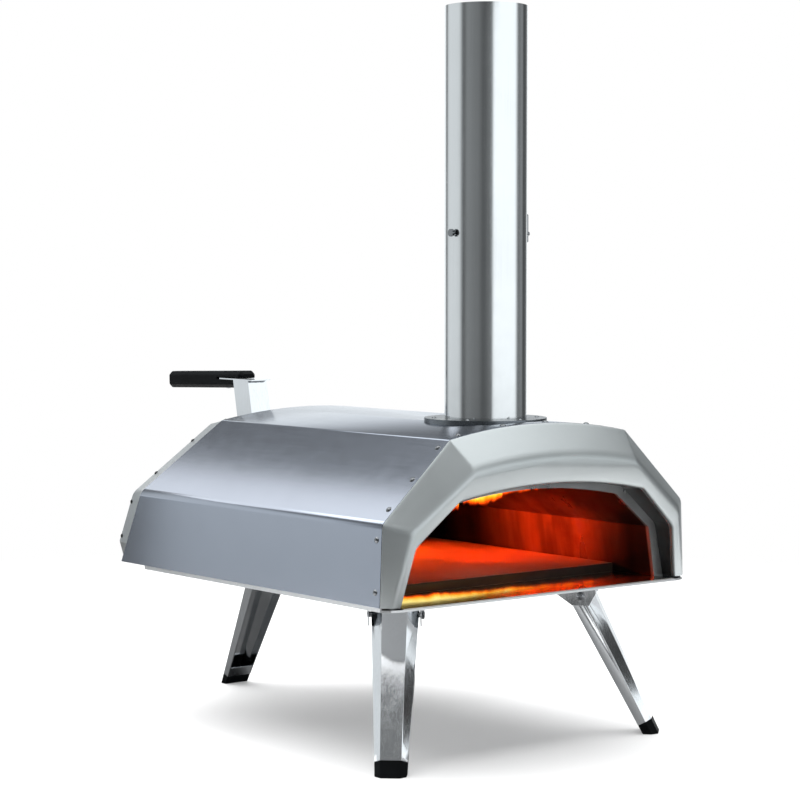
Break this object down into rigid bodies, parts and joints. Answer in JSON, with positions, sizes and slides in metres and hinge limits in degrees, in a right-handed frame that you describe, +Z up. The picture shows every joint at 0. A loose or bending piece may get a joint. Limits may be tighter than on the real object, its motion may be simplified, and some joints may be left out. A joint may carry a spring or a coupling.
{
  "type": "wood fired pizza oven",
  "caption": "Portable outdoor oven of folded steel with a wide arched mouth, a tall flue with damper, fold-in tapered legs, a baking stone and a rear fuel drawer and hatch.",
  "frame": {"origin": "on the ground under the middle of the oven's bounding box", "axes": "+Z up the chimney, -Y out of the mouth, +X to the right when facing +Y"},
  "size_m": [0.432, 0.7313, 0.798],
  "materials": {
    "casing_steel": "brushed along its length, satin",
    "surround_steel": "bead-blasted satin, slightly green-grey",
    "mouth_steel": "heat-darkened black",
    "chamber_steel": "heat-tinted",
    "floor_steel": "polished",
    "pan_steel": "satin",
    "fibre_blanket": "white ceramic fibre wool",
    "rear_steel": "satin",
    "fuel_steel": "satin, heat-tinted",
    "grate_steel": "dark, rough",
    "flue_steel": "polished with fine circumferential brushing",
    "flange_steel": "satin",
    "fastener_steel": "bright",
    "dark_fastener": "blackened",
    "leg_steel": "polished",
    "stone": "cordierite, fine-grained matte",
    "black_plastic": "moulded, satin black",
    "foot_plastic": "moulded, matte black"
  },
  "bodies": {
    "casing": {"outer_shell": "casing_steel", "front_surround": "surround_steel", "mouth_return": "mouth_steel", "inner_liner": "chamber_steel", "insulation_arch": "fibre_blanket", "base_pan": "pan_steel", "liner_floor": "floor_steel", "rear_panel": "rear_steel", "fuel_box": "fuel_steel", "hatch_collar": "fuel_steel", "chimney_spigot": "flange_steel", "chimney_flange": "flange_steel", "shell_front_screws": "fastener_steel", "rear_panel_screws": "dark_fastener", "flange_screws": "fastener_steel", "base_pan_screws": "fastener_steel", "bracket_rivets": "fastener_steel", "bracket_front_right": "leg_steel", "pivot_bolt_front_right": "fastener_steel", "pivot_nut_front_right": "fastener_steel", "bracket_front_left": "leg_steel", "pivot_bolt_front_left": "fastener_steel", "pivot_nut_front_left": "fastener_steel", "bracket_rear": "leg_steel", "pivot_bolt_rear": "fastener_steel", "pivot_nut_rear": "fastener_steel"},
    "chimney": {"chimney_tube": "flue_steel"},
    "damper": {"damper_disc": "chamber_steel", "damper_spindle": "fastener_steel", "damper_lever": "fastener_steel", "damper_screws": "fastener_steel"},
    "fuel_hatch": {"hatch_lid": "fuel_steel", "hatch_strut": "leg_steel", "hatch_grip": "black_plastic", "handle_rivets": "fastener_steel", "grip_bolts": "fastener_steel"},
    "fuel_drawer": {"fuel_tray": "fuel_steel", "fuel_grate": "grate_steel", "tray_face": "fuel_steel"},
    "stone": {"baking_stone": "stone"},
    "leg_front_right": {"leg_front_right": "leg_steel", "foot_front_right": "foot_plastic"},
    "leg_front_left": {"leg_front_left": "leg_steel", "foot_front_left": "foot_plastic"},
    "leg_rear": {"leg_rear": "leg_steel", "foot_rear": "foot_plastic"}
  },
  "joints": [
    {"name": "chimney_lift", "type": "slide", "parent": "casing", "child": "chimney", "axis": [0, 0, 1], "range_m": [0, 0.06]},
    {"name": "damper_turn", "type": "hinge", "parent": "chimney", "child": "damper", "pos_m": [0, -0.2459, 0.555], "axis": [1, 0, 0], "range_deg": [0, 90]},
    {"name": "hatch_lift", "type": "slide", "parent": "casing", "child": "fuel_hatch", "axis": [0, 0, 1], "range_m": [0, 0.06]},
    {"name": "drawer_slide", "type": "slide", "parent": "casing", "child": "fuel_drawer", "axis": [0, 1, 0], "range_m": [0, 0.12]},
    {"name": "stone_slide", "type": "slide", "parent": "casing", "child": "stone", "axis": [0, -1, 0], "range_m": [0, 0.33]},
    {"name": "leg_front_right_fold", "type": "hinge", "parent": "casing", "child": "leg_front_right", "pos_m": [0.134, -0.2575, 0.155], "axis": [0.7431, 0.6691, 0], "range_deg": [0, 116]},
    {"name": "leg_front_left_fold", "type": "hinge", "parent": "casing", "child": "leg_front_left", "pos_m": [-0.134, -0.2575, 0.155], "axis": [0.7431, -0.6691, 0], "range_deg": [0, 116]},
    {"name": "leg_rear_fold", "type": "hinge", "parent": "casing", "child": "leg_rear", "pos_m": [0, 0.1615, 0.155], "axis": [-1, 0, 0], "range_deg": [0, 116]}
  ]
}
